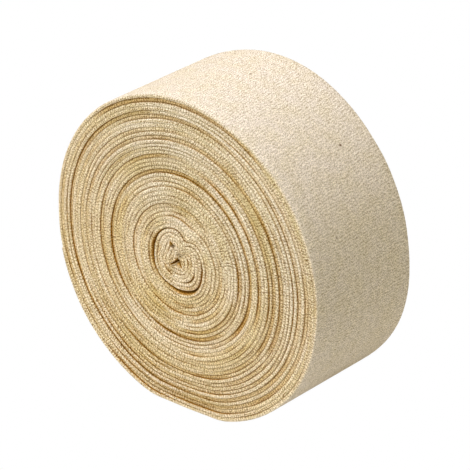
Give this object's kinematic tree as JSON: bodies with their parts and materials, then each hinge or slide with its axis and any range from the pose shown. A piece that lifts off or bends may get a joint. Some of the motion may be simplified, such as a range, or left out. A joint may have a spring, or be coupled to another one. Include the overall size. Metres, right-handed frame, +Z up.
{
  "type": "tubular support bandage roll",
  "caption": "Unbleached elastic knitted tube for supporting a limb, pressed flat and wound up on itself into a thick roll that stands on its rim, with a crumpled middle.",
  "frame": {"origin": "middle of the roll's box, on the surface that it stands on", "axes": "+Y along the roll's axis, away from the near end face; +Z up from the flat spot on its rim; +X to the right as the near end face is seen"},
  "size_m": [0.1492, 0.0642, 0.1484],
  "materials": {
    "cotton_knit": "matt unbleached cotton knit with covered elastic yarn"
  },
  "bodies": {
    "root": {"bandage_roll": "cotton_knit"}
  },
  "joints": []
}
